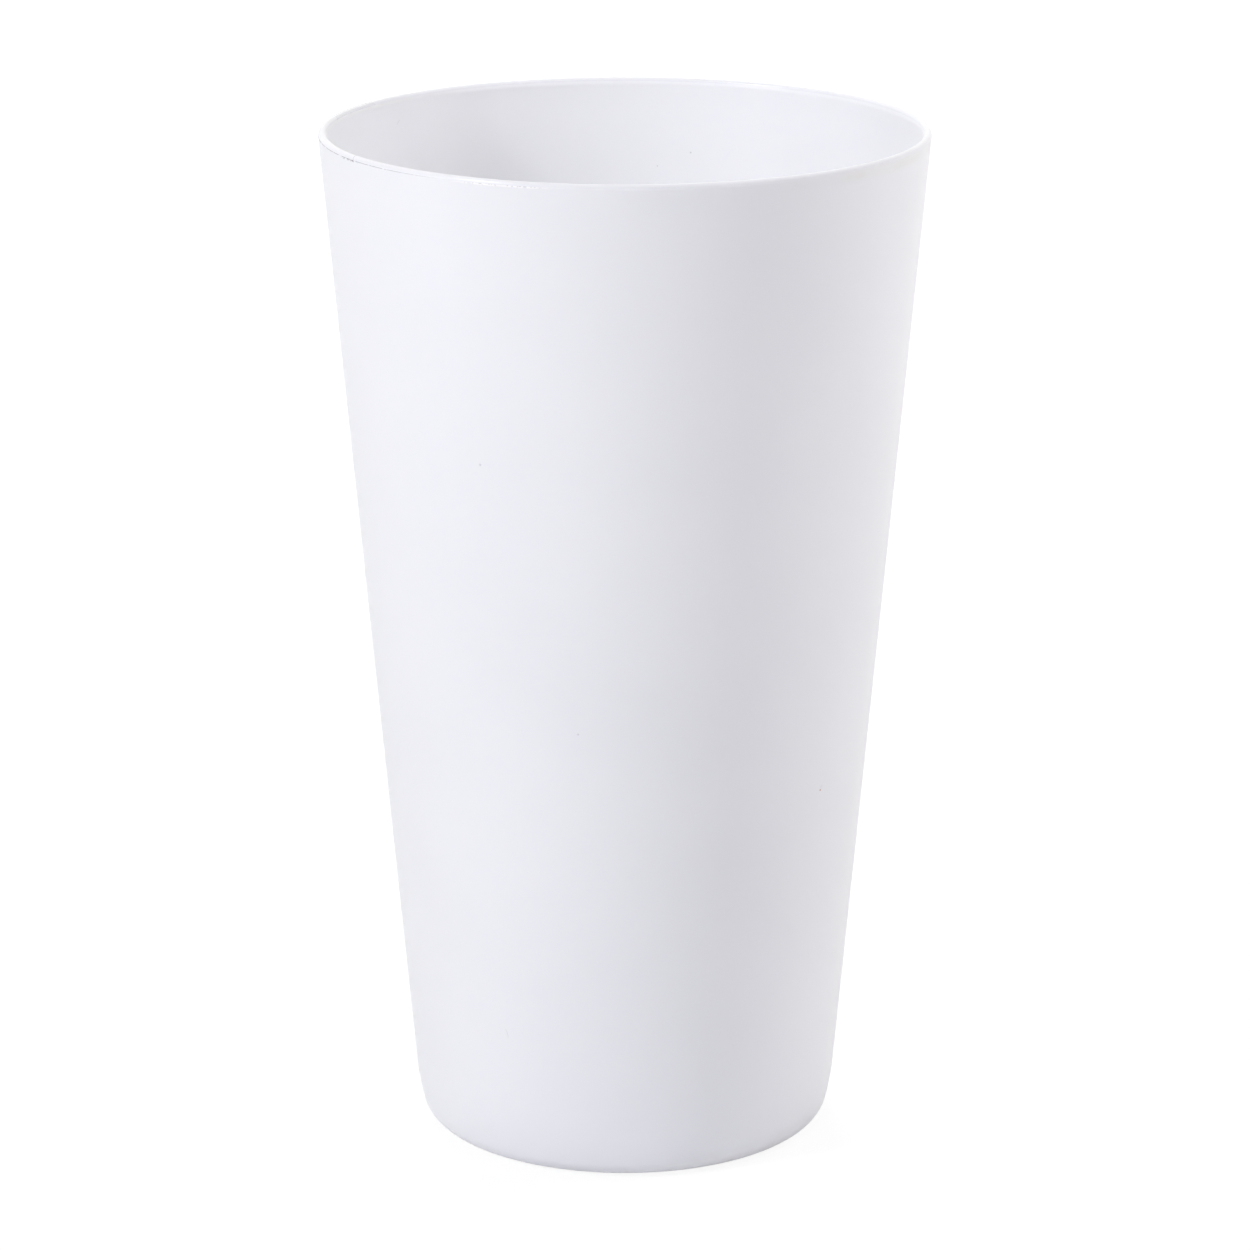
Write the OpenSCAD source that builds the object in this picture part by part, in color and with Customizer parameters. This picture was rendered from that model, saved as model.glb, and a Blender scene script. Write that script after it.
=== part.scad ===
// Reusable drinking cup, injection moulded in one piece from white polypropylene.
// The cup is one section turned about the Z axis, with small ribs inside its heel.
// The frame is in millimetres: Z = 0 is the table, and the Z axis is the cup's own axis.

/* [Overall] */
// Outside diameter of the lip
rim_d = 88; // [74:0.5:110]
// Height from the table to the top of the lip
cup_h = 149.7; // [100:0.1:200]
// Diameter at which the straight outside wall would meet the table
base_d = 61.3; // [52:0.1:76]

/* [Walls] */
// Thickness of the side wall and heel, square to the surface
wall_t = 1.2; // [0.9:0.05:2]
// Thickness of the raised base panel
floor_t = 1.4; // [1:0.05:2.5]

/* [Lip] */
// Step at the line where the lip's mould half meets the wall's
parting_step = 0.06; // [0.02:0.01:0.15]

/* [Heel] */
// Outside radius of the tight curve next to the foot
heel_r = 3.4; // [2.6:0.1:6]
// Outside radius of the long curve between the tight one and the straight wall
flank_r = 33.5; // [20:0.5:60]
// Lean of the wall, in degrees from upright, where the two curves meet
heel_lean = 15; // [11:0.5:25]

/* [Base] */
// Width of the foot ring, from the heel curve to the start of the base's step
foot_w = 2.4; // [2:0.1:5]
// Height of the underside of the base panel above the table
push_up = 2; // [1.6:0.1:5]
// Lean of the step between foot ring and panel, in degrees from upright
step_lean = 30; // [20:1:45]
// Radius on the hollow side of the step's two bends
step_r = 0.5; // [0.3:0.05:0.7]

/* [Gate] */
// Diameter of the shallow well round the moulding gate, under the base
gate_d = 7; // [4:0.5:14]
// Depth of the gate's well
gate_depth = 0.5; // [0.2:0.05:0.8]
// Diameter of the stub that the gate leaves
stub_d = 1.2; // [0.8:0.1:2]
// Height of the gate's stub, inside its well
stub_h = 0.3; // [0.1:0.05:0.45]

/* [Stacking ribs] */
// Number of ribs round the inside of the heel
rib_count = 4; // [3:1:8]
// Thickness of each rib
rib_t = 1; // [0.7:0.1:2]
// Height that each cup in a stack adds
stack_rise = 18; // [15:0.5:30]
// Place on a stacked cup's heel, in degrees below level, that lands on the ribs
landing = 55; // [35:1:70]

/* [Hidden] */

// Largest gap between a curve and the straight pieces that make it, and their widest turn
curve_gap = 0.01;
curve_turn = 12;
// Facets of the turned form
$fn = 128;

plastic = [0.91, 0.91, 0.93];

// The outside wall leans out from the base circle to the widest part of the lip
taper = atan((rim_d - base_d) / 2 / (cup_h - wall_t / 2));

// Unit vectors: along the wall upwards, square out of the wall, and along the heel's shared lean
up_wall = [sin(taper), cos(taper)];
off_wall = [cos(taper), -sin(taper)];
up_heel = [sin(heel_lean), cos(heel_lean)];
off_heel = [cos(heel_lean), -sin(heel_lean)];

// The two heel curves share a tangent. Its length runs from the table to the straight wall.
heel_tangent = heel_r * tan((90 - heel_lean) / 2) + flank_r * tan((heel_lean - taper) / 2);
heel_top = heel_tangent * up_heel;
foot_r = base_d / 2 + heel_top[1] * tan(taper) - heel_top[0] - heel_r * tan((90 - heel_lean) / 2);
heel_centre = [foot_r, heel_r];
flank_centre = heel_centre - (flank_r - heel_r) * off_heel;

// The lip is a full round on the middle of the wall
lip_r = wall_t / 2 - parting_step;
lip_z = cup_h - lip_r;
lip_centre = [base_d / 2 + lip_z * tan(taper) - wall_t / 2 / cos(taper), lip_z];

// Base panel and the step that lifts it off the table, on both sides of the material
foot_in_r = foot_r - foot_w;
panel_r = foot_in_r - push_up * tan(step_lean);
panel_top = push_up + floor_t;
step_out = wall_t / cos(step_lean);
valley_r = foot_in_r + step_out - wall_t * tan(step_lean);
panel_top_r = foot_in_r + step_out - panel_top * tan(step_lean);

// Underside of the gate's well, and the circle in which its sloping side ends
gate_z = push_up + gate_depth;
gate_floor_r = gate_d / 2 - gate_depth;

// Points along an arc, from one angle to another
function arc(centre, radius, from, to) =
    let (turn = min(curve_turn, 2 * acos(1 - curve_gap / radius)),
         steps = ceil(abs(to - from) / turn))
    [for (i = [0 : steps]) centre + radius * angle_point(from + (to - from) * i / steps)];

function angle_point(angle) = [cos(angle), sin(angle)];

// Points of the round that takes the corner off between two straight lines
function bend(before, corner, after, radius) =
    let (back = unit(before - corner),
         ahead = unit(after - corner),
         half = acos(back * ahead) / 2,
         centre = corner + unit(back + ahead) * radius / sin(half),
         first = corner + back * radius / tan(half) - centre,
         last = corner + ahead * radius / tan(half) - centre,
         from = atan2(first[1], first[0]),
         swing = atan2(last[1], last[0]) - from,
         turn = swing > 180 ? swing - 360 : swing < -180 ? swing + 360 : swing)
    arc(centre, radius, from, from + turn);

function unit(v) = v / norm(v);

// All but the first point, where the point before it is the same one
function rest(points) = [for (i = [1 : len(points) - 1]) points[i]];

// The heel's double curve, at a depth under the outside surface, from the foot to the wall
function heel(depth) = concat(
    arc(heel_centre, heel_r - depth, -90, -heel_lean),
    rest(arc(flank_centre, flank_r - depth, -heel_lean, -taper)));

// The heel's double curve from the wall to the foot
function heel_down(depth) =
    let (points = heel(depth))
    [for (i = [len(points) - 1 : -1 : 0]) points[i]];

// Underside: stub, well, panel and step, from the axis to the foot ring
underside = concat(
    [[0, gate_z - stub_h],
     [stub_d / 2, gate_z - stub_h],
     [stub_d / 2, gate_z],
     [gate_floor_r, gate_z],
     [gate_d / 2, push_up]],
    bend([0, push_up], [panel_r, push_up], [foot_in_r, 0], step_r),
    bend([panel_r, push_up], [foot_in_r, 0], [foot_r, 0], step_r + wall_t));

// Lip: over the top from the outside parting line to the inside one
lip = concat(
    [lip_centre + wall_t / 2 * off_wall],
    arc(lip_centre, lip_r, -taper, 180 - taper),
    [lip_centre - wall_t / 2 * off_wall]);

// Inside of the base: the valley over the foot ring, the step and the panel, to the axis
floor_side = concat(
    bend([foot_r, wall_t], [valley_r, wall_t], [panel_top_r, panel_top], step_r),
    bend([valley_r, wall_t], [panel_top_r, panel_top], [0, panel_top], step_r + floor_t),
    [[0, panel_top]]);

module shell() {
    rotate_extrude()
        polygon(concat(underside, heel(0), lip, heel_down(wall_t), floor_side));
}

// A stacked cup's heel lands on the tips of the ribs
rib_tip = [foot_r, stack_rise + heel_r] + heel_r * angle_point(-landing);

// Middle of the wall at the height of the rib's tip
rib_root = [base_d / 2 + rib_tip[1] * tan(taper) - wall_t / 2 / cos(taper), rib_tip[1]];

// One rib leans out from the foot ring to its tip, and has its root inside the wall
module stacking_rib() {
    rotate([90, 0, 0])
        linear_extrude(height = rib_t, center = true)
            polygon(concat(heel(wall_t / 2), [rib_root, rib_tip]));
}

module cup() {
    color(plastic)
        union() {
            shell();
            for (i = [0 : rib_count - 1])
                rotate([0, 0, i * 360 / rib_count])
                    stacking_rib();
        }
}

cup();
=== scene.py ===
# %% [markdown]
# # A moulded drinking cup
#
# The object is a tall reusable cup, injection moulded in one shot from white plastic.
# It has no parts to put together, so its looks rest on three things: a clean turned form, the
# small marks that the mould leaves on it, and a satin skin that shades softly from side to side.
# This lesson makes them in that order, and then lights the cup as a studio would.

# %% Load the fixed frame
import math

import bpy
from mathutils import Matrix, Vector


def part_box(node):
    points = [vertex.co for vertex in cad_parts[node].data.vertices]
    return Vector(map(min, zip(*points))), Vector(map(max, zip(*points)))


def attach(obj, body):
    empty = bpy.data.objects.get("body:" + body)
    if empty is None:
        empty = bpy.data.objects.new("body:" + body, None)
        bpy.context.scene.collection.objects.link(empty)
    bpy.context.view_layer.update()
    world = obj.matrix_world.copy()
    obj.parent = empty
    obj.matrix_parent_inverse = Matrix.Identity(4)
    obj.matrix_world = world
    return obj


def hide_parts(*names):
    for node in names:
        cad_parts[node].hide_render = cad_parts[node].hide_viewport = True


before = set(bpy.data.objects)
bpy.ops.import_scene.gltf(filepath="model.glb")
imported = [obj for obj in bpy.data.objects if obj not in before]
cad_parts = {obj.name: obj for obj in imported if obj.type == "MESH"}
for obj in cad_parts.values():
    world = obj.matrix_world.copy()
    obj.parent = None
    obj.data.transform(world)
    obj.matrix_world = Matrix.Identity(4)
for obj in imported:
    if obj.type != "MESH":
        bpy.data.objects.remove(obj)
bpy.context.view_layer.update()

# %% [markdown]
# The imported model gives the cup's place and its overall size. Everything below is worked out
# from the lip's radius and the height, in metres. The other sizes are those of the mould: wall,
# floor, heel curves, foot ring and gate. They are named once here and used everywhere after.

MM = 0.001
_, node_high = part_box("cup")
lip_edge_r = min(node_high.x, node_high.y)
cup_h = node_high.z

wall_t = 1.2 * MM
floor_t = 1.4 * MM
parting_step = 0.06 * MM
base_r = 30.65 * MM
heel_r = 3.4 * MM
flank_r = 33.5 * MM
heel_lean = math.radians(15)
foot_w = 2.4 * MM
push_up = 2 * MM
step_lean = math.radians(30)
step_r = 0.5 * MM
print(f"lip radius {lip_edge_r / MM:.2f} mm, height {cup_h / MM:.2f} mm")

# %% [markdown]
# ## The section
#
# A mould for a cup is turned on a lathe, so the honest way to model one is to draw half of its
# section and turn it round the axis. The section is a list of points (radius, height). It runs
# along the underside, up the outside, over the lip, down the inside and back to the axis. Round
# stretches come from an arc function, so they get as many points as their curve needs.

# %% Tools for drawing a section
CURVE_GAP = 0.003 * MM
WIDEST_TURN = math.radians(9)


def toward(angle):
    return Vector((math.cos(angle), math.sin(angle)))


def arc(centre, radius, start, stop):
    """Points from one angle to another, close enough that the eye sees a curve."""
    turn = min(WIDEST_TURN, 2 * math.acos(1 - CURVE_GAP / radius))
    steps = math.ceil(abs(stop - start) / turn)
    return [centre + radius * toward(start + (stop - start) * i / steps) for i in range(steps + 1)]


def bend(before, corner, after, radius):
    """The round that takes the corner off between two straight lines."""
    before, corner, after = Vector(before), Vector(corner), Vector(after)
    back = (before - corner).normalized()
    ahead = (after - corner).normalized()
    half = back.angle(ahead) / 2
    centre = corner + (back + ahead).normalized() * radius / math.sin(half)
    first = corner + back * radius / math.tan(half) - centre
    last = corner + ahead * radius / math.tan(half) - centre
    start = math.atan2(first.y, first.x)
    swing = math.remainder(math.atan2(last.y, last.x) - start, 2 * math.pi)
    return arc(centre, radius, start, start + swing)


def between(first, last, longest):
    """Evenly spaced points strictly between two others."""
    steps = max(1, math.ceil((last - first).length / longest))
    return [first.lerp(last, i / steps) for i in range(1, steps)]


# %% [markdown]
# The wall leans out at a steady five degrees. Below it the heel turns under in two curves that
# share a tangent: a long one that starts gently, and a tight one down to the foot. A single
# radius would look like a pill box, and a plain chamfer like a bucket.

# %% Work out the wall and the double curve of the heel
taper = math.atan((lip_edge_r - base_r) / (cup_h - wall_t / 2))
up_wall = Vector((math.sin(taper), math.cos(taper)))
off_wall = Vector((math.cos(taper), -math.sin(taper)))
off_heel = Vector((math.cos(heel_lean), -math.sin(heel_lean)))

quarter = math.pi / 2 - heel_lean
tight_reach = heel_r * math.tan(quarter / 2)
heel_reach = tight_reach + flank_r * math.tan((heel_lean - taper) / 2)
heel_top = heel_reach * Vector((math.sin(heel_lean), math.cos(heel_lean)))
foot_r = base_r + heel_top.y * math.tan(taper) - heel_top.x - tight_reach
heel_centre = Vector((foot_r, heel_r))
flank_centre = heel_centre - (flank_r - heel_r) * off_heel


def heel(depth):
    """The double curve at a depth under the outside surface, from the foot up to the wall."""
    tight = arc(heel_centre, heel_r - depth, -math.pi / 2, -heel_lean)
    return tight + arc(flank_centre, flank_r - depth, -heel_lean, -taper)[1:]


print(f"taper {math.degrees(taper):.2f} degrees, foot ring {2 * foot_r / MM:.1f} mm across")

# %% [markdown]
# Under the base, the panel is lifted off the table so that the cup stands on a ring and doesn't
# rock. Plastic enters a mould like this one in the middle of the base, and the gate leaves a
# short stub. It sits in a shallow well, so that it can't scratch the table.

# %% Draw the underside, from the axis to the foot ring
gate_r = 3.5 * MM
gate_depth = 0.5 * MM
stub_r = 0.6 * MM
stub_h = 0.3 * MM
ring_spacing = 4 * MM

gate_z = push_up + gate_depth
stub_z = gate_z - stub_h
gate_floor_r = gate_r - gate_depth
foot_in_r = foot_r - foot_w
panel_r = foot_in_r - push_up * math.tan(step_lean)

stub_bend_r = 0.12 * MM
well_bend_r = 0.4 * MM
stub = bend((0, stub_z), (stub_r, stub_z), (stub_r, gate_z), stub_bend_r)
stub += bend((stub_r, stub_z), (stub_r, gate_z), (gate_floor_r, gate_z), stub_bend_r)
well = bend((stub_r, gate_z), (gate_floor_r, gate_z), (gate_r, push_up), well_bend_r)
well += bend((gate_floor_r, gate_z), (gate_r, push_up), (panel_r, push_up), well_bend_r)
step = bend((gate_r, push_up), (panel_r, push_up), (foot_in_r, 0), step_r)
foot = bend((panel_r, push_up), (foot_in_r, 0), (foot_r, 0), step_r + wall_t)

underside = [Vector((0, stub_z))] + stub + well
underside += between(well[-1], step[0], ring_spacing) + step + foot
print(f"underside: {len(underside)} points, panel lifted {push_up / MM:.1f} mm")

# %% [markdown]
# The lip is a full round on the middle of the wall. Two mould halves meet just under it, and
# they never meet quite flush: a fine step runs round the cup there, outside and inside. On the
# real cup it is the one line that breaks the wall, so it is built into the form. The points
# close to it, the guards, keep the smooth shading of the long wall from smearing over the step.
# Inside, the core's edge leaves a bead as fine as a hair just under the line, and it draws a pale
# ring there. The bead is a list of how far below the line and how far off the wall it runs.

# %% Draw the outside, the lip and the inside
lip_r = wall_t / 2 - parting_step
lip_z = cup_h - lip_r
lip_centre = Vector((base_r + lip_z * math.tan(taper) - wall_t / 2 / math.cos(taper), lip_z))
parting_out = lip_centre + wall_t / 2 * off_wall
parting_in = lip_centre - wall_t / 2 * off_wall
guards = (0.8 * MM, 0.25 * MM, 0.06 * MM)
core_edge = [(0.06, 0.0), (0.14, 0.025), (0.28, 0.05), (0.45, 0.06),
             (0.62, 0.05), (0.80, 0.02), (0.95, 0.0)]

outside = heel(0)
outside += between(outside[-1], parting_out - guards[0] * up_wall, ring_spacing)
outside += [parting_out - guard * up_wall for guard in guards] + [parting_out]

lip = arc(lip_centre, lip_r, -taper, math.pi - taper)

inner_heel = heel(wall_t)[::-1]
inside = [parting_in]
inside += [parting_in - (below * up_wall + raised * off_wall) * MM for below, raised in core_edge]
inside += between(inside[-1], inner_heel[0], ring_spacing) + inner_heel

panel_top = push_up + floor_t
step_out = wall_t / math.cos(step_lean)
valley_r = foot_in_r + step_out - wall_t * math.tan(step_lean)
panel_top_r = foot_in_r + step_out - panel_top * math.tan(step_lean)
valley = bend((foot_r, wall_t), (valley_r, wall_t), (panel_top_r, panel_top), step_r)
crown = bend((valley_r, wall_t), (panel_top_r, panel_top), (0, panel_top), step_r + floor_t)
axis_top = Vector((0, panel_top))
inside += valley + crown + between(crown[-1], axis_top, ring_spacing) + [axis_top]
print(f"outside {len(outside)}, lip {len(lip)} and inside {len(inside)} points")

# %% [markdown]
# ## Turning the section
#
# A lathe does one thing at every angle, and that is a rule, so Geometry Nodes turn the section.
# The section goes in as a bare line of points. Each point knows which finish it carries, and the
# one on the parting line knows that it is flash: there the plastic has crept between the mould
# halves by a different amount at each place.

# %% Lay the section out as a line of points
FINISHES = ["Underside", "Outside", "Lip", "Inside"]
stretches = list(enumerate([underside, outside, lip, inside]))
section = [point for finish, points in stretches for point in points]
finish_of = [finish for finish, points in stretches for point in points]

line = bpy.data.meshes.new("cup_section")
line.from_pydata([(p.x, 0, p.y) for p in section], [(i, i + 1) for i in range(len(section) - 1)], [])
line.attributes.new("finish", "INT", "POINT").data.foreach_set("value", finish_of)
flash = [1.0 if point is parting_out else 0.0 for point in section]
line.attributes.new("flash", "FLOAT", "POINT").data.foreach_set("value", flash)
turned = bpy.data.objects.new("turned_cup", line)
bpy.context.scene.collection.objects.link(turned)
print(f"the section has {len(section)} points")


# %% [markdown]
# Node trees are easier to read when they are written like sums. These helpers add a node, give
# its inputs a value or a link, and hand back what comes out.

# %% Helpers that write node trees
def add_node(tree, kind, values=None, **settings):
    node = tree.nodes.new(kind)
    for name, value in settings.items():
        setattr(node, name, value)
    for name, value in (values or {}).items():
        if isinstance(value, bpy.types.NodeSocket):
            tree.links.new(value, node.inputs[name])
        else:
            node.inputs[name].default_value = value
    return node


def sum_of(tree, operation, *terms):
    """The result of a Math node on one, two or three terms."""
    return add_node(tree, "ShaderNodeMath", dict(enumerate(terms)), operation=operation).outputs[0]


def vector_sum(tree, operation, *terms):
    return add_node(tree, "ShaderNodeVectorMath", dict(enumerate(terms)), operation=operation).outputs[0]


def named_tree(name, kind, inputs, outputs):
    """An empty node group with named sockets, and its two end nodes."""
    tree = bpy.data.node_groups.new(name, kind)
    for socket, socket_kind in inputs:
        tree.interface.new_socket(name=socket, in_out="INPUT", socket_type=socket_kind)
    for socket, socket_kind in outputs:
        tree.interface.new_socket(name=socket, in_out="OUTPUT", socket_type=socket_kind)
    return tree, tree.nodes.new("NodeGroupInput"), tree.nodes.new("NodeGroupOutput")


def set_inputs(modifier, values):
    """Gives a Geometry Nodes modifier its values, by the identifier of each named input."""
    for item in modifier.node_group.interface.items_tree:
        if item.in_out == "INPUT" and item.name in values:
            modifier[item.identifier] = values[item.name]


# %% [markdown]
# The tree starts from a flat grid: one row for each point of the section, and one column for
# each angle. It looks up the row's point, swings it round the axis by the column's angle, and
# welds the seam and the two poles shut. The finish of each row then picks the face's material.
# A face between two finishes lies half way from one number to the next, and takes the lower one.

# %% Build the tree that turns the section
GEOMETRY = "NodeSocketGeometry"
NUMBER = "NodeSocketFloat"
turning, turn_in, turn_out = named_tree(
    "turned form", "GeometryNodeTree",
    [("Geometry", GEOMETRY), ("Points", "NodeSocketInt"), ("Columns", "NodeSocketInt"),
     ("Flash Depth", NUMBER), ("Flash Size", NUMBER), ("Weld", NUMBER),
     *[(finish, "NodeSocketMaterial") for finish in FINISHES]],
    [("Geometry", GEOMETRY)])


def section_value(tree, source, row, attribute, kind):
    """The value that an attribute of the section has at a row."""
    value = add_node(tree, "GeometryNodeInputNamedAttribute", {"Name": attribute}, data_type=kind)
    found = add_node(tree, "GeometryNodeSampleIndex",
                     {"Geometry": source, "Value": value.outputs[0], "Index": row}, data_type=kind)
    return found.outputs[0]


columns_and_seam = sum_of(turning, "ADD", turn_in.outputs["Columns"], 1)
grid = add_node(turning, "GeometryNodeMeshGrid",
                {"Vertices X": turn_in.outputs["Points"], "Vertices Y": columns_and_seam})
index = turning.nodes.new("GeometryNodeInputIndex").outputs[0]
middle_of_cell = sum_of(turning, "ADD", index, 0.5)
row = sum_of(turning, "FLOOR", sum_of(turning, "DIVIDE", middle_of_cell, columns_and_seam))
row_start = sum_of(turning, "MULTIPLY", row, columns_and_seam)
column = sum_of(turning, "SUBTRACT", index, row_start)
share = sum_of(turning, "DIVIDE", column, turn_in.outputs["Columns"])
angle = sum_of(turning, "MULTIPLY", share, 2 * math.pi)

section_in = turn_in.outputs["Geometry"]
place = section_value(turning, section_in, row, "position", "FLOAT_VECTOR")
flash_here = section_value(turning, section_in, row, "flash", "FLOAT")
finish_here = section_value(turning, section_in, row, "finish", "FLOAT")
swung = add_node(turning, "ShaderNodeVectorRotate", {"Vector": place, "Angle": angle},
                 rotation_type="Z_AXIS").outputs[0]

# %% Let the flash wander in from the parting line, and finish the tree
SAME_FINISH = 0.4
flash_grain = sum_of(turning, "DIVIDE", 1, turn_in.outputs["Flash Size"])
wander = add_node(turning, "ShaderNodeTexNoise", {"Vector": swung, "Scale": flash_grain, "Detail": 2.0})
creep = sum_of(turning, "MULTIPLY", wander.outputs[0], turn_in.outputs["Flash Depth"])
creep = sum_of(turning, "MULTIPLY", creep, flash_here)
outwards = vector_sum(turning, "NORMALIZE", vector_sum(turning, "MULTIPLY", swung, (1, 1, 0)))
shift = add_node(turning, "ShaderNodeVectorMath", {0: outwards, "Scale": creep}, operation="SCALE")
formed = vector_sum(turning, "SUBTRACT", swung, shift.outputs[0])

kept = add_node(turning, "GeometryNodeStoreNamedAttribute",
                {"Geometry": grid.outputs["Mesh"], "Name": "finish", "Value": finish_here},
                data_type="FLOAT", domain="POINT")
placed = add_node(turning, "GeometryNodeSetPosition", {"Geometry": kept.outputs[0], "Position": formed})
welded = add_node(turning, "GeometryNodeMergeByDistance",
                  {"Geometry": placed.outputs[0], "Distance": turn_in.outputs["Weld"]})
painted = welded.outputs[0]
row_finish = add_node(turning, "GeometryNodeInputNamedAttribute", {"Name": "finish"},
                      data_type="FLOAT").outputs[0]
for finish, socket in enumerate(FINISHES):
    chosen = sum_of(turning, "GREATER_THAN", row_finish, finish - SAME_FINISH)
    painted = add_node(turning, "GeometryNodeSetMaterial",
                       {"Geometry": painted, "Selection": chosen,
                        "Material": turn_in.outputs[socket]}).outputs[0]
turning.links.new(painted, turn_out.inputs["Geometry"])
print(f"the turning tree has {len(turning.nodes)} nodes")

# %% [markdown]
# ## The plastic
#
# White polypropylene looks plain, and that makes it hard: a flat colour reads as paper. Three
# things give it away. Its skin has a fine satin grain from the mould, finer inside than outside,
# and next to none on the polished lip. Light goes a little way into the wall, which softens the
# shade. And a cup that has been used carries hair-fine scuffs that only show as a change of
# gloss. The grain and the scuffs are groups, because each finish uses them with its own values.

# %% Make the satin grain of the mould as a group
VECTOR = "NodeSocketVector"
CLOUD_SIZE = 28 * MM


def object_point(tree):
    """The place on the piece, in metres."""
    return tree.nodes.new("ShaderNodeTexCoord").outputs["Object"]


def noise(tree, place, scale, detail=2.0, rough=0.5):
    return add_node(tree, "ShaderNodeTexNoise",
                    {"Vector": place, "Scale": scale, "Detail": detail, "Roughness": rough}).outputs[0]


def vector_distance(tree, point):
    """How far the surface at hand is from a point."""
    return add_node(tree, "ShaderNodeVectorMath", {0: object_point(tree), 1: point},
                    operation="DISTANCE").outputs["Value"]


def remapped(tree, value, low, high, to_low=0.0, to_high=1.0):
    """A value eased from one range to another, and held at its ends."""
    return add_node(tree, "ShaderNodeMapRange",
                    {"Value": value, "From Min": low, "From Max": high,
                     "To Min": to_low, "To Max": to_high},
                    interpolation_type="SMOOTHSTEP").outputs[0]


grain, grain_in, grain_out = named_tree(
    "mould grain", "ShaderNodeTree",
    [("Grain Size", NUMBER), ("Ripple Size", NUMBER), ("Ripple Share", NUMBER)],
    [("Height", NUMBER), ("Cloud", NUMBER)])
skin = object_point(grain)
fine = noise(grain, skin, sum_of(grain, "DIVIDE", 1, grain_in.outputs["Grain Size"]), 1.0)
ripple = noise(grain, skin, sum_of(grain, "DIVIDE", 1, grain_in.outputs["Ripple Size"]), 0.0)
ripple = sum_of(grain, "MULTIPLY", ripple, grain_in.outputs["Ripple Share"])
grain.links.new(sum_of(grain, "ADD", fine, ripple), grain_out.inputs["Height"])
grain.links.new(noise(grain, skin, 1 / CLOUD_SIZE, 1.0), grain_out.inputs["Cloud"])

# %% Make the scuffs as a group
scuffs, scuffs_in, scuffs_out = named_tree(
    "scuffs", "ShaderNodeTree",
    [("Width", NUMBER), ("Length", NUMBER), ("Rarity", NUMBER)],
    [("Mask", NUMBER)])
SCUFF_LEANS = [(12, 24, 0), (-31, 8, 40), (70, -35, 15)]
SCUFF_SOFTNESS = 0.05
across = sum_of(scuffs, "DIVIDE", 1, scuffs_in.outputs["Width"])
along = sum_of(scuffs, "DIVIDE", 1, scuffs_in.outputs["Length"])
stretch = add_node(scuffs, "ShaderNodeCombineXYZ", {0: across, 1: across, 2: along}).outputs[0]
scuff_mask = 0.0
for lean in SCUFF_LEANS:
    leaning = add_node(scuffs, "ShaderNodeVectorRotate",
                       {"Vector": object_point(scuffs), "Rotation": [math.radians(d) for d in lean]},
                       rotation_type="EULER_XYZ").outputs[0]
    streak = noise(scuffs, vector_sum(scuffs, "MULTIPLY", leaning, stretch), 1.0, 0.0)
    edge = sum_of(scuffs, "ADD", scuffs_in.outputs["Rarity"], SCUFF_SOFTNESS)
    streak = remapped(scuffs, streak, scuffs_in.outputs["Rarity"], edge)
    scuff_mask = sum_of(scuffs, "MAXIMUM", scuff_mask, streak)
scuffs.links.new(scuff_mask, scuffs_out.inputs["Mask"])
print("two groups: mould grain and scuffs")

# %% [markdown]
# A cup in use also gathers a little grime, and most of it settles where the surface has an edge.
# Here that is the parting line: a dark thread at the left, and a yellowish film at the right,
# where fingers meet the lip. The same group also lays painted light along a ring: a painted
# highlight on the flash, and painted shade low on the heel. The group finds a stretch of a ring
# round the cup, and noise breaks the stretch up into crumbs. Angles are counted from the side
# that faces the camera.

# %% Make the grime and painted light along a ring as a group
ring_grime_and_painted_light, ring_in, ring_out = named_tree(
    "grime and painted light along a ring", "ShaderNodeTree",
    [("Height", NUMBER), ("Reach", NUMBER), ("From", NUMBER), ("To", NUMBER), ("Fade", NUMBER),
     ("Crumb Size", NUMBER), ("Gaps", NUMBER), ("Softness", NUMBER)],
    [("Mask", NUMBER)])
where = object_point(ring_grime_and_painted_light)
x, y, z = add_node(ring_grime_and_painted_light, "ShaderNodeSeparateXYZ", {"Vector": where}).outputs
round_about = sum_of(ring_grime_and_painted_light, "ARCTAN2", x, sum_of(ring_grime_and_painted_light, "MULTIPLY", y, -1))
away = sum_of(ring_grime_and_painted_light, "ABSOLUTE", sum_of(ring_grime_and_painted_light, "SUBTRACT", z, ring_in.outputs["Height"]))
in_reach = remapped(ring_grime_and_painted_light, away, ring_in.outputs["Reach"], 0.0)
begun = remapped(ring_grime_and_painted_light, round_about, ring_in.outputs["From"],
                 sum_of(ring_grime_and_painted_light, "ADD", ring_in.outputs["From"], ring_in.outputs["Fade"]))
not_over = remapped(ring_grime_and_painted_light, round_about, ring_in.outputs["To"],
                    sum_of(ring_grime_and_painted_light, "SUBTRACT", ring_in.outputs["To"], ring_in.outputs["Fade"]))
crumbs = noise(ring_grime_and_painted_light, where, sum_of(ring_grime_and_painted_light, "DIVIDE", 1, ring_in.outputs["Crumb Size"]), 1.0)
crumbs = remapped(ring_grime_and_painted_light, crumbs, ring_in.outputs["Gaps"],
                  sum_of(ring_grime_and_painted_light, "ADD", ring_in.outputs["Gaps"], ring_in.outputs["Softness"]))
stretch_of_ring = sum_of(ring_grime_and_painted_light, "MULTIPLY", begun, not_over)
stretch_of_ring = sum_of(ring_grime_and_painted_light, "MULTIPLY", in_reach, stretch_of_ring)
ring_grime_and_painted_light.links.new(sum_of(ring_grime_and_painted_light, "MULTIPLY", stretch_of_ring, crumbs), ring_out.inputs["Mask"])

# %% [markdown]
# The last marks are single ones: a crumb of colour pressed into the wall, and nicks as fine as a
# hair. A nick is a short piece of a circle, so it is found by its distance from the circle's
# centre, and it ends at a distance from its own middle. Both are full in their core and fade
# from there to their ends.

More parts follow.
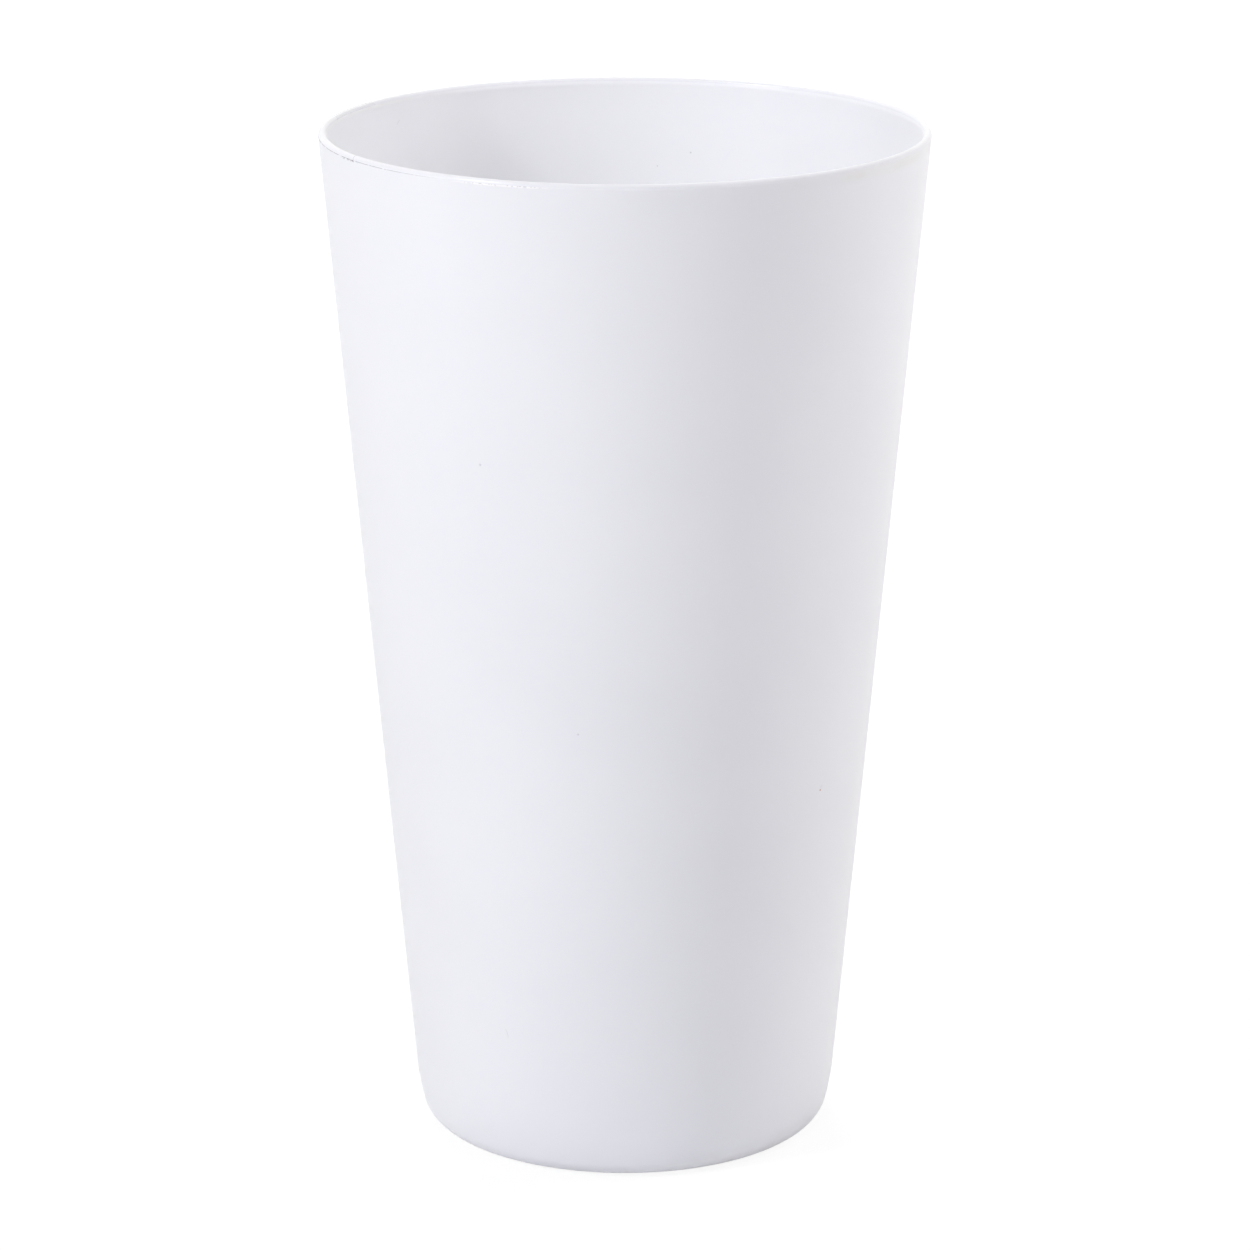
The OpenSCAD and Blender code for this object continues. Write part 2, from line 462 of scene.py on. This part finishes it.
# %% Make a crumb and a fine nick as groups
CRUMB_CORE = 0.4
NICK_CORE = 0.4
crumb, crumb_in, crumb_out = named_tree(
    "crumb", "ShaderNodeTree", [("Middle", VECTOR), ("Radius", NUMBER)], [("Mask", NUMBER)])
from_middle = vector_distance(crumb, crumb_in.outputs["Middle"])
core = sum_of(crumb, "MULTIPLY", crumb_in.outputs["Radius"], CRUMB_CORE)
in_crumb = remapped(crumb, from_middle, crumb_in.outputs["Radius"], core)
crumb.links.new(in_crumb, crumb_out.inputs["Mask"])

nick, nick_in, nick_out = named_tree(
    "fine nick", "ShaderNodeTree",
    [("Middle", VECTOR), ("Centre", VECTOR), ("Bend", NUMBER), ("Length", NUMBER), ("Width", NUMBER)],
    [("Mask", NUMBER)])
from_centre = vector_distance(nick, nick_in.outputs["Centre"])
off_line = sum_of(nick, "SUBTRACT", from_centre, nick_in.outputs["Bend"])
on_line = remapped(nick, sum_of(nick, "ABSOLUTE", off_line), nick_in.outputs["Width"], 0.0)
half_length = sum_of(nick, "MULTIPLY", nick_in.outputs["Length"], 0.5)
tail = sum_of(nick, "MULTIPLY", half_length, NICK_CORE)
in_length = remapped(nick, vector_distance(nick, nick_in.outputs["Middle"]), half_length, tail)
nick.links.new(sum_of(nick, "MULTIPLY", on_line, in_length), nick_out.inputs["Mask"])
print("three more groups: grime and painted light along a ring, crumb and fine nick")

# %% [markdown]
# The finishes share one recipe. What differs is told in numbers: how rough the mould was there,
# how coarse its grain is, and how much the surface has been rubbed. The inside is painted a shade
# paler than the outside. That is painted light, for light that the lamps don't bring into the cup.
# Every mark is laid over the colour before it, and most are so thin that the plastic still shows.

# %% Write the recipe for one finish of the plastic
# The inside's white is painted paler than the rest: painted light inside the cup.
INSIDE_WHITE_PAINTED_LIGHTER = (0.911, 0.918, 0.960)
PLASTIC_WHITE = (0.871, 0.878, 0.926)
CLOUDING = 0.983
CLOUD_EDGES = (0.35, 0.65)
RIPPLE = {"Ripple Size": 1.6 * MM, "Ripple Share": 0.5}
SCUFF = {"Width": 0.07 * MM, "Length": 9 * MM}
SCUFF_DULLING = 0.08
GLOSS_EDGES = (0.3, 0.7)
GLOSS_DRIFT = 0.03
PLASTIC_IOR = 1.49
LIGHT_LET_IN = 0.3
LIGHT_DEPTH = 2 * MM
LIGHT_DEPTH_BY_COLOUR = (1.0, 0.95, 0.9)


def use_group(tree, group, values):
    return add_node(tree, "ShaderNodeGroup", values, node_tree=group).outputs


def mixed(tree, share, first, second):
    """Two colours mixed, by the share that the second one has."""
    return add_node(tree, "ShaderNodeMix", {0: share, 6: first, 7: second}, data_type="RGBA").outputs[2]


def plastic(name, white, roughness, grain_size, grain_depth, rubbed, marks=()):
    material = bpy.data.materials.new(name)
    material.use_nodes = True
    tree = material.node_tree
    shader = tree.nodes["Principled BSDF"]
    surface = use_group(tree, grain, {"Grain Size": grain_size, **RIPPLE})
    rub = use_group(tree, scuffs, {"Rarity": rubbed, **SCUFF})
    cloud = remapped(tree, surface["Cloud"], *CLOUD_EDGES)

    clouded = [channel * CLOUDING for channel in white]
    colour = mixed(tree, cloud, (*clouded, 1), (*white, 1))
    for group, values, mark, strength in marks:
        mask = use_group(tree, group, values)["Mask"]
        colour = mixed(tree, sum_of(tree, "MULTIPLY", mask, strength), colour, mark)
    tree.links.new(colour, shader.inputs["Base Color"])

    gloss_range = (roughness - GLOSS_DRIFT, roughness + GLOSS_DRIFT)
    gloss = remapped(tree, surface["Cloud"], *GLOSS_EDGES, *gloss_range)
    dulling = sum_of(tree, "MULTIPLY", rub["Mask"], SCUFF_DULLING)
    tree.links.new(sum_of(tree, "ADD", gloss, dulling), shader.inputs["Roughness"])

    relief = add_node(tree, "ShaderNodeBump",
                      {"Height": surface["Height"], "Distance": grain_depth, "Strength": 1.0})
    tree.links.new(relief.outputs[0], shader.inputs["Normal"])

    shader.inputs["IOR"].default_value = PLASTIC_IOR
    shader.inputs["Subsurface Weight"].default_value = LIGHT_LET_IN
    shader.inputs["Subsurface Radius"].default_value = LIGHT_DEPTH_BY_COLOUR
    shader.inputs["Subsurface Scale"].default_value = LIGHT_DEPTH
    return material


# %% [markdown]
# Marks are placed by an angle round the cup and a height above the table. A function turns the
# two into a point on the wall, so that a mark stays on the surface if the cup's sizes change.
# Each kind of mark has a function that names its sizes and hands back its group, the group's
# values, the mark's colour and how strongly it covers.

# %% Write a function for each kind of mark
DARK_DIRT = (0.20, 0.19, 0.22, 1)
HAND_DIRT = (0.79, 0.78, 0.71, 1)
OLD_FILM = (0.80, 0.78, 0.69, 1)
# A warm grey for painted shade low on the heel.
HEEL_PAINTED_SHADE = (0.52, 0.50, 0.46, 1)
# A near-white for a painted highlight: the glint of the key lamp on the flash.
PAINTED_GLINT_WHITE = (0.985, 0.985, 0.99, 1)
RED_PIGMENT = (0.45, 0.03, 0.02, 1)
NICK_SHADE = (0.46, 0.45, 0.52, 1)


def on_wall(degrees, height, depth=0.0):
    """A point on the wall, by its angle from the camera's side, height and depth in the wall."""
    radius = base_r + height * math.tan(taper) - depth / math.cos(taper)
    turn = math.radians(degrees)
    return Vector((radius * math.sin(turn), -radius * math.cos(turn), height))


def grime_and_painted_light(colour, cover, height, reach, start, stop, crumb_size, gaps, softness, fade):
    """Grime and painted light along a stretch of a ring. It fades out over so many degrees at both ends.
    """
    values = {"Height": height, "Reach": reach, "From": math.radians(start),
              "To": math.radians(stop), "Fade": math.radians(fade),
              "Crumb Size": crumb_size, "Gaps": gaps, "Softness": softness}
    return ring_grime_and_painted_light, values, colour, cover


def speck(colour, cover, degrees, height, radius, depth=0.0):
    """A round speck with soft edges."""
    return crumb, {"Middle": on_wall(degrees, height, depth), "Radius": radius}, colour, cover


def hairline(colour, cover, degrees, height, bend_degrees, bend_height, length, width, depth=0.0):
    """A nick as fine as a hair, bent round a second place on the wall."""
    middle = on_wall(degrees, height, depth)
    centre = on_wall(bend_degrees, bend_height, depth)
    values = {"Middle": middle, "Centre": centre, "Bend": (middle - centre).length,
              "Length": length, "Width": width}
    return nick, values, colour, cover


# %% Place the marks, in the order in which they lie over one another
line_z = parting_out.y
inner_line_z = parting_in.y
dark_thread = grime_and_painted_light(DARK_DIRT, 0.60, line_z, 0.12 * MM, start=-100, stop=-28,
                   crumb_size=0.9 * MM, gaps=0.27, softness=0.2, fade=24)
thread_beads = grime_and_painted_light(DARK_DIRT, 0.85, line_z - 0.08 * MM, 0.3 * MM, start=-66, stop=-57,
                    crumb_size=0.35 * MM, gaps=0.50, softness=0.1, fade=3)
finger_film = grime_and_painted_light(HAND_DIRT, 0.35, line_z - 0.7 * MM, 1.4 * MM, start=20, stop=125,
                   crumb_size=4 * MM, gaps=0.10, softness=0.7, fade=30)
# Painted highlight: near-white crumbs where the key lamp glints on the flash by the parting line.
painted_glint = grime_and_painted_light(PAINTED_GLINT_WHITE, 1.0, line_z - 0.05 * MM, 0.3 * MM, start=-34, stop=-12,
                    crumb_size=0.6 * MM, gaps=0.40, softness=0.1, fade=6)
dark_glitter = grime_and_painted_light(DARK_DIRT, 0.5, line_z, 0.12 * MM, start=-34, stop=-12,
                    crumb_size=0.35 * MM, gaps=0.50, softness=0.1, fade=6)
# Painted shade: a warm grey band low on the heel at the right, where the floor beside it lies in shadow.
painted_heel_shade = grime_and_painted_light(HEEL_PAINTED_SHADE, 0.22, 0.6 * MM, 4.0 * MM, start=0, stop=88,
                 crumb_size=6 * MM, gaps=0.10, softness=0.5, fade=30)
old_film = grime_and_painted_light(OLD_FILM, 0.25, inner_line_z - 0.2 * MM, 0.5 * MM, start=-150, stop=-75,
                crumb_size=2.5 * MM, gaps=0.10, softness=0.4, fade=30)

outside_marks = [
    dark_thread, thread_beads, finger_film, painted_glint, dark_glitter,
    speck(RED_PIGMENT, 1.0, 52, 57 * MM, 0.16 * MM),
    speck(NICK_SHADE, 0.12, 52.3, 57.4 * MM, 0.45 * MM),
    speck(NICK_SHADE, 0.4, -29.9, 108.6 * MM, 0.25 * MM),
    speck(NICK_SHADE, 0.4, -10.3, 69.8 * MM, 0.2 * MM),
    painted_heel_shade,
    hairline(NICK_SHADE, 0.28, -31.6, 21.8 * MM, -35.4, 21.2 * MM, 1.9 * MM, 0.12 * MM),
]
lip_marks = [
    hairline(NICK_SHADE, 0.9, -59.6, cup_h - 0.1 * MM, -56, cup_h, 2.2 * MM, 0.10 * MM, 0.5 * MM),
]
inside_marks = [
    old_film,
    hairline(NICK_SHADE, 0.22, -127.5, 145.9 * MM, -130, 143.9 * MM, 1.3 * MM, 0.12 * MM, wall_t),
    speck(DARK_DIRT, 0.3, 166.2, 138.6 * MM, 0.18 * MM, wall_t),
    speck(DARK_DIRT, 0.25, 173.2, 136.4 * MM, 0.15 * MM, wall_t),
]

# %% Make the four finishes
finish_materials = {
    "Underside": plastic("white_plastic_underside", PLASTIC_WHITE, roughness=0.5,
                         grain_size=0.22 * MM, grain_depth=0.006 * MM, rubbed=0.70),
    "Outside": plastic("white_plastic_outside", PLASTIC_WHITE, roughness=0.5,
                       grain_size=0.16 * MM, grain_depth=0.004 * MM, rubbed=0.76,
                       marks=outside_marks),
    "Lip": plastic("white_plastic_lip", PLASTIC_WHITE, roughness=0.3,
                   grain_size=0.12 * MM, grain_depth=0.001 * MM, rubbed=0.72, marks=lip_marks),
    "Inside": plastic("white_plastic_inside", INSIDE_WHITE_PAINTED_LIGHTER, roughness=0.38,
                      grain_size=0.14 * MM, grain_depth=0.003 * MM, rubbed=0.78,
                      marks=inside_marks),
}
mark_count = len(outside_marks + lip_marks + inside_marks)
print(f"finishes: {len(finish_materials)}, with {mark_count} marks")

# %% [markdown]
# With the materials made, the modifier can run. Its result becomes a plain mesh, because the
# finished piece has to carry its shape itself.

# %% Turn the section into the cup's mesh
COLUMNS = 360
flash_depth = 0.05 * MM
flash_size = 0.9 * MM
weld_reach = 0.0005 * MM


def plain_mesh(source, name):
    """A copy of an object's evaluated shape, as a mesh without modifiers."""
    bpy.context.view_layer.update()
    evaluated = source.evaluated_get(bpy.context.evaluated_depsgraph_get())
    mesh = bpy.data.meshes.new_from_object(evaluated)
    mesh.name = name
    for slot in reversed(range(len(mesh.materials))):
        if mesh.materials[slot] is None:
            mesh.materials.pop(index=slot)
    return mesh


lathe = turned.modifiers.new("turn the section", "NODES")
lathe.node_group = turning
set_inputs(lathe, {"Points": len(section), "Columns": COLUMNS, "Flash Depth": flash_depth,
                   "Flash Size": flash_size, "Weld": weld_reach, **finish_materials})
turned_mesh = plain_mesh(turned, "turned_cup")
print(f"turned form: {len(turned_mesh.polygons)} faces, {[m.name for m in turned_mesh.materials]}")

# %% [markdown]
# ## Stacking ribs
#
# Smooth cups jam when they are stacked, so cups like this one have small ribs low inside the
# heel, where the next cup lands. They repeat round the axis, which is a job for instances. One
# rib is drawn as an outline in the plane of the section, given its thickness, and bevelled.

# %% Draw one rib
rib_t = 1.0 * MM
rib_bevel = 0.2 * MM
rib_bevel_steps = 3
rib_bevel_from = math.radians(40)
stack_rise = 18 * MM
landing = math.radians(55)

rib_tip = Vector((foot_r, stack_rise + heel_r)) + heel_r * toward(-landing)
rib_root_r = base_r + rib_tip.y * math.tan(taper) - wall_t / 2 / math.cos(taper)
rib_outline = heel(wall_t / 2) + [Vector((rib_root_r, rib_tip.y)), rib_tip]
rib_mesh = bpy.data.meshes.new("stacking_rib")
rib_mesh.from_pydata([(p.x, 0, p.y) for p in rib_outline], [], [range(len(rib_outline))])
ribs = bpy.data.objects.new("stacking_ribs", rib_mesh)
bpy.context.scene.collection.objects.link(ribs)

thickness = ribs.modifiers.new("rib thickness", "SOLIDIFY")
thickness.thickness = rib_t
thickness.offset = 0
soften = ribs.modifiers.new("soft edges", "BEVEL")
soften.width = rib_bevel
soften.segments = rib_bevel_steps
soften.angle_limit = rib_bevel_from
print(f"a rib stands {rib_tip.y / MM:.1f} mm above the table")

# %% Repeat the rib round the axis
RIB_COUNT = 4
spacing, space_in, space_out = named_tree(
    "evenly round the axis", "GeometryNodeTree",
    [("Geometry", GEOMETRY), ("Count", "NodeSocketInt"), ("Material", "NodeSocketMaterial")],
    [("Geometry", GEOMETRY)])
points = add_node(spacing, "GeometryNodePoints", {"Count": space_in.outputs["Count"]}).outputs[0]
which = spacing.nodes.new("GeometryNodeInputIndex").outputs[0]
turns_so_far = sum_of(spacing, "MULTIPLY", which, 2 * math.pi)
turn = sum_of(spacing, "DIVIDE", turns_so_far, space_in.outputs["Count"])
facing = add_node(spacing, "ShaderNodeCombineXYZ", {"Z": turn}).outputs[0]
placed = add_node(spacing, "GeometryNodeInstanceOnPoints",
                  {"Points": points, "Instance": space_in.outputs["Geometry"], "Rotation": facing})
real = add_node(spacing, "GeometryNodeRealizeInstances", {"Geometry": placed.outputs[0]})
coated = add_node(spacing, "GeometryNodeSetMaterial",
                  {"Geometry": real.outputs[0], "Material": space_in.outputs["Material"]})
spacing.links.new(coated.outputs[0], space_out.inputs["Geometry"])

repeat = ribs.modifiers.new("round the axis", "NODES")
repeat.node_group = spacing
set_inputs(repeat, {"Count": RIB_COUNT, "Material": finish_materials["Inside"]})

# %% [markdown]
# In the mould the ribs and the wall are one cavity, so here they become one skin. An exact union
# leaves no faces inside the wall. After it, the edges that turn sharply are marked, and the rest
# of the surface is shaded smooth.

# %% Join ribs and wall into one piece
SHARP = math.radians(38)
cup = bpy.data.objects.new("moulded_cup", turned_mesh)
bpy.context.scene.collection.objects.link(cup)
join = cup.modifiers.new("ribs into the wall", "BOOLEAN")
join.operation = "UNION"
join.solver = "EXACT"
join.material_mode = "TRANSFER"
join.object = ribs
cup_mesh = plain_mesh(cup, "moulded_cup")
cup.modifiers.clear()
cup.data = cup_mesh
cup_mesh.shade_smooth()
cup_mesh.set_sharp_from_angle(angle=SHARP)
for helper in (ribs, turned):
    bpy.data.objects.remove(helper)

# %% Measure what was made
import bmesh

CUBIC_CM = 1e-6
measured = bmesh.new()
measured.from_mesh(cup_mesh)
volume = measured.calc_volume(signed=True)
open_edges = sum(not edge.is_manifold for edge in measured.edges)
triangles = sum(len(face.verts) - 2 for face in measured.faces)
measured.free()
print(f"cup: {volume / CUBIC_CM:.2f} cm3, {open_edges} open edges, {triangles} triangles, "
      f"{[m.name for m in cup_mesh.materials]}")

# %% Tie the piece to the frame
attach(cup, "root")
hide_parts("cup")

# %% [markdown]
# ## The studio
#
# The photograph shows the cup from a little above, against plain white. The camera's height,
# distance and lens come from the perspective of the lip and the foot: the lip's ellipse gives
# how far down it looks, and how much flatter the foot's ellipse is gives how near it stands.

# %% Place the camera
IMAGE_SIDE = 1250
focal_pixels = 4946
look_down = math.radians(15.9)
camera_distance = 0.730
aim = Vector((0, 0, 0.0755))

camera_data = bpy.data.cameras.new("photo_camera")
camera_data.sensor_width = 36
camera_data.lens = focal_pixels / IMAGE_SIDE * camera_data.sensor_width
camera = bpy.data.objects.new("photo_camera", camera_data)
bpy.context.scene.collection.objects.link(camera)
camera.location = aim + camera_distance * Vector((0, -math.cos(look_down), math.sin(look_down)))
camera.rotation_euler = (math.pi / 2 - look_down, 0, 0)
bpy.context.scene.camera = camera
print(f"lens {camera_data.lens:.1f} mm, camera {camera.location.z:.3f} m above the table")

# %% [markdown]
# The white background is only for the eye of the camera. Light Path tells the world and the
# floor what kind of ray asks. A camera ray sees white, and so does a reflection, but the light
# that falls on the cup stays at a plain level. Part of that light is the same from all round.
# The other part is a broad pale glow low on the camera's side, for the wall behind the camera.
# The floor keeps the cup's soft shadow. Inside the foot ring it gives a little light, which
# nothing lets out, so that the underside isn't black when it is looked at from below.

# %% Make the white surroundings
WHITE = (1, 1, 1, 1)
AMBIENT = 0.20
WALL_GLOW = (1.08, 1.04, 1.15, 1)
WALL_NARROWNESS = 4.0
WALL_TOP = (0.4, 0.85)


def seen_directly(tree):
    """One for a ray that brings a picture of what stands there, and nought for plain light."""
    path = tree.nodes.new("ShaderNodeLightPath").outputs
    seen = sum_of(tree, "MAXIMUM", path["Is Camera Ray"], path["Is Glossy Ray"])
    return sum_of(tree, "MAXIMUM", seen, path["Is Transmission Ray"])


world = bpy.data.worlds.new("white_studio")
bpy.context.scene.world = world
world.use_nodes = True
sky = world.node_tree
sky.nodes.clear()
heading = sky.nodes.new("ShaderNodeTexCoord").outputs["Generated"]
level_heading = vector_sum(sky, "NORMALIZE", vector_sum(sky, "MULTIPLY", heading, (1, 1, 0)))
facing_wall = add_node(sky, "ShaderNodeVectorMath", {0: level_heading, 1: (0, -1, 0)},
                       operation="DOT_PRODUCT").outputs["Value"]
facing_wall = sum_of(sky, "POWER", sum_of(sky, "MAXIMUM", facing_wall, 0.0), WALL_NARROWNESS)
rise = add_node(sky, "ShaderNodeSeparateXYZ", {"Vector": heading}).outputs["Z"]
facing_wall = sum_of(sky, "MULTIPLY", facing_wall, remapped(sky, rise, *WALL_TOP, 1.0, 0.0))

all_round = add_node(sky, "ShaderNodeBackground", {"Color": WHITE, "Strength": AMBIENT})
wall_glow = add_node(sky, "ShaderNodeBackground", {"Color": WALL_GLOW, "Strength": facing_wall})
lighting = add_node(sky, "ShaderNodeAddShader", {0: all_round.outputs[0], 1: wall_glow.outputs[0]})
white = add_node(sky, "ShaderNodeBackground", {"Color": WHITE, "Strength": 1.0})
shown = add_node(sky, "ShaderNodeMixShader",
                 {0: seen_directly(sky), 1: lighting.outputs[0], 2: white.outputs[0]})
add_node(sky, "ShaderNodeOutputWorld", {"Surface": shown.outputs[0]})

# %% Lay the floor
FLOOR_SIDE = 6.0
FLOOR_GAP = 0.02 * MM
GLOW_REACH = (0.1, 0.6)
GLOW_LEVELS = (0.88, 0.98)
FLOOR_COLOUR = (0.8, 0.8, 0.8, 1)
SHADOW_COLOUR = (0.15, 0.15, 0.15, 1)
UNDER_CUP_LIGHT = 0.16
UNDER_CUP_CORE = 0.9
floor_mesh = bpy.data.meshes.new("floor")
half = FLOOR_SIDE / 2
floor_corners = [(-half, -half, -FLOOR_GAP), (half, -half, -FLOOR_GAP),
                 (half, half, -FLOOR_GAP), (-half, half, -FLOOR_GAP)]
floor_mesh.from_pydata(floor_corners, [], [(0, 1, 2, 3)])
floor = bpy.data.objects.new("studio_floor", floor_mesh)
bpy.context.scene.collection.objects.link(floor)

floor_paint = bpy.data.materials.new("studio_floor")
floor_paint.use_nodes = True
paint = floor_paint.node_tree
paint.nodes.clear()
board = add_node(paint, "ShaderNodeBsdfDiffuse", {"Color": FLOOR_COLOUR})
shadow_part = add_node(paint, "ShaderNodeBsdfDiffuse", {"Color": SHADOW_COLOUR})
from_cup = add_node(paint, "ShaderNodeVectorMath", {0: object_point(paint)},
                    operation="LENGTH").outputs["Value"]
under_cup = remapped(paint, from_cup, foot_in_r, UNDER_CUP_CORE * foot_in_r, 0.0, UNDER_CUP_LIGHT)
light_box = add_node(paint, "ShaderNodeEmission", {"Color": WHITE, "Strength": under_cup})
lit = add_node(paint, "ShaderNodeAddShader", {0: board.outputs[0], 1: light_box.outputs[0]})
fading = remapped(paint, from_cup, *GLOW_REACH, *GLOW_LEVELS)
glow = add_node(paint, "ShaderNodeEmission", {"Color": WHITE, "Strength": fading})
pale = add_node(paint, "ShaderNodeAddShader", {0: shadow_part.outputs[0], 1: glow.outputs[0]})
top_side = add_node(paint, "ShaderNodeMixShader",
                    {0: seen_directly(paint), 1: lit.outputs[0], 2: pale.outputs[0]})
from_below = paint.nodes.new("ShaderNodeNewGeometry").outputs["Backfacing"]
clear = paint.nodes.new("ShaderNodeBsdfTransparent")
two_sided = add_node(paint, "ShaderNodeMixShader",
                     {0: from_below, 1: top_side.outputs[0], 2: clear.outputs[0]})
add_node(paint, "ShaderNodeOutputMaterial", {"Surface": two_sided.outputs[0]})
floor_paint.cycles.emission_sampling = "NONE"
floor_mesh.materials.append(floor_paint)

# %% [markdown]
# Three lamps shape the cup. A compact one stands to the left and in front: it makes the pale left
# side and the short glint on the lip. A broad one stands close at the right and a little behind,
# and lifts the right edge. Between them is the darkest band, right of the middle, as in the
# photograph. A third stands behind: it shines through the wall a little, and so it brightens the
# inside. Seen so flat, the lip would mirror the last two as a hard white line that the photograph
# hasn't got, so reflections don't see them, as if a polarising filter took their shine away.

# %% Hang the lamps
lamp_target = Vector((0, 0, 0.09))


def lamp(name, azimuth, elevation, distance, width, height, power, colour):
    """An area lamp that faces the cup. Azimuth 0 is the camera's side, and 90 is the right."""
    light = bpy.data.lights.new(name, "AREA")
    light.shape = "RECTANGLE"
    light.size = width
    light.size_y = height
    light.energy = power
    light.color = colour
    a, e = math.radians(azimuth), math.radians(elevation)
    outward = Vector((math.sin(a) * math.cos(e), -math.cos(a) * math.cos(e), math.sin(e)))
    made = bpy.data.objects.new(name, light)
    made.location = lamp_target + distance * outward
    made.rotation_euler = (-outward).to_track_quat("-Z", "Y").to_euler()
    bpy.context.scene.collection.objects.link(made)
    return made


lamp("key_left", -59, 35, 1.3, 0.19, 0.19, 7.9, (0.975, 0.985, 1))
side_lamp = lamp("side_right", 104, 32, 0.5, 0.35, 0.35, 1.22, (1, 0.98, 0.95))
back_lamp = lamp("behind", 192, 40, 1.2, 0.6, 0.6, 8.2, (1, 0.97, 0.87))
for fill in (side_lamp, back_lamp):
    fill.visible_glossy = False

# %% [markdown]
# Last comes the setting that keeps colours as they are written.

# %% Finish
bpy.context.scene.view_settings.view_transform = "Standard"
